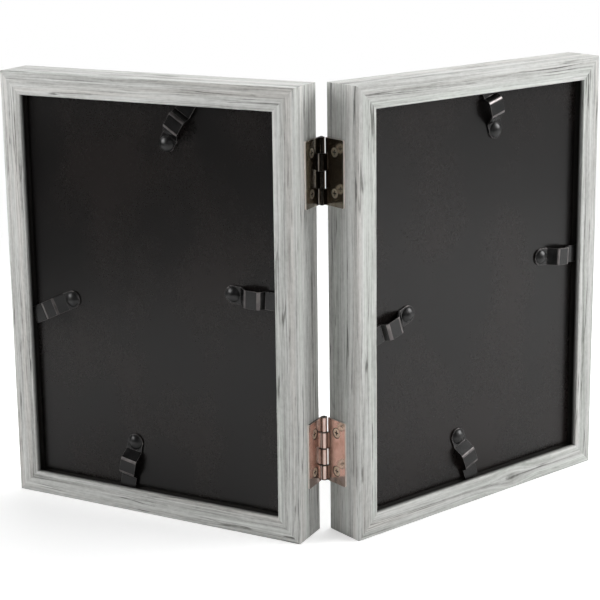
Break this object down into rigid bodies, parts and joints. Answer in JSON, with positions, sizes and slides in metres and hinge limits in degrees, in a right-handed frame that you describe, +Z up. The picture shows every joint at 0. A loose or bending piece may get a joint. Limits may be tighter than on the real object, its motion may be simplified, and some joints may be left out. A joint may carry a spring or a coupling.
{
  "type": "hinged double photo frame",
  "caption": "Two portrait picture frames in grey wood-grain moulding, joined by butt hinges to stand as a V, with glass, blank pictures and black backs held by turn clips.",
  "frame": {"origin": "on the surface that the frame stands on, under the middle of its box", "axes": "+X across both frames, +Y from the hinged back towards the picture side, +Z up along the hinge pins"},
  "size_m": [0.2766, 0.0978, 0.2004],
  "materials": {
    "wood_wrap": "matt grey wood-grain wrap",
    "glass": "clear float glass",
    "picture_paper": "blank satin paper",
    "black_board": "black-faced fibreboard",
    "black_metal": "black semi-gloss",
    "hinge_copper": "copper-plated",
    "nail_steel": "bare steel"
  },
  "bodies": {
    "left_frame": {"left_bottom_rail": "wood_wrap", "left_top_rail": "wood_wrap", "left_outer_stile": "wood_wrap", "left_hinge_stile": "wood_wrap", "left_corner_nails": "nail_steel", "left_glass_pane": "glass", "left_picture_sheet": "picture_paper", "left_backing_board": "black_board", "left_clip_rivets": "black_metal", "left_hinge_screws": "hinge_copper", "upper_hinge_left_leaf": "hinge_copper", "upper_hinge_pin": "hinge_copper", "lower_hinge_left_leaf": "hinge_copper", "lower_hinge_pin": "hinge_copper"},
    "right_frame": {"right_bottom_rail": "wood_wrap", "right_top_rail": "wood_wrap", "right_outer_stile": "wood_wrap", "right_hinge_stile": "wood_wrap", "right_corner_nails": "nail_steel", "right_glass_pane": "glass", "right_picture_sheet": "picture_paper", "right_backing_board": "black_board", "right_clip_rivets": "black_metal", "right_hinge_screws": "hinge_copper", "upper_hinge_right_leaf": "hinge_copper", "lower_hinge_right_leaf": "hinge_copper"},
    "left_top_clip": {"left_top_clip": "black_metal"},
    "left_bottom_clip": {"left_bottom_clip": "black_metal"},
    "left_hinge_clip": {"left_hinge_clip": "black_metal"},
    "left_outer_clip": {"left_outer_clip": "black_metal"},
    "right_top_clip": {"right_top_clip": "black_metal"},
    "right_bottom_clip": {"right_bottom_clip": "black_metal"},
    "right_outer_clip": {"right_outer_clip": "black_metal"},
    "right_hinge_clip": {"right_hinge_clip": "black_metal"}
  },
  "joints": [
    {"name": "frame_hinge", "type": "hinge", "parent": "left_frame", "child": "right_frame", "pos_m": [0, -0.03161, 0.1002], "axis": [0, 0, 1], "range_deg": [-66, 114]},
    {"name": "left_top_clip_turn", "type": "hinge", "parent": "left_frame", "child": "left_top_clip", "pos_m": [-0.06476, -0.01006, 0.1723], "axis": [-0.5446, -0.8387, 0], "continuous": true},
    {"name": "left_bottom_clip_turn", "type": "hinge", "parent": "left_frame", "child": "left_bottom_clip", "pos_m": [-0.08288, 0.00171, 0.0321], "axis": [-0.5446, -0.8387, 0], "continuous": true},
    {"name": "left_hinge_clip_turn", "type": "hinge", "parent": "left_frame", "child": "left_hinge_clip", "pos_m": [-0.03834, -0.02721, 0.1082], "axis": [-0.5446, -0.8387, 0], "continuous": true},
    {"name": "left_outer_clip_turn", "type": "hinge", "parent": "left_frame", "child": "left_outer_clip", "pos_m": [-0.1093, 0.01886, 0.0962], "axis": [-0.5446, -0.8387, 0], "continuous": true},
    {"name": "right_top_clip_turn", "type": "hinge", "parent": "right_frame", "child": "right_top_clip", "pos_m": [0.08187, 0.00105, 0.1723], "axis": [0.5446, -0.8387, 0], "continuous": true},
    {"name": "right_bottom_clip_turn", "type": "hinge", "parent": "right_frame", "child": "right_bottom_clip", "pos_m": [0.06376, -0.01071, 0.0321], "axis": [0.5446, -0.8387, 0], "continuous": true},
    {"name": "right_outer_clip_turn", "type": "hinge", "parent": "right_frame", "child": "right_outer_clip", "pos_m": [0.10829, 0.01821, 0.1082], "axis": [0.5446, -0.8387, 0], "continuous": true},
    {"name": "right_hinge_clip_turn", "type": "hinge", "parent": "right_frame", "child": "right_hinge_clip", "pos_m": [0.03734, -0.02787, 0.0962], "axis": [0.5446, -0.8387, 0], "continuous": true}
  ]
}
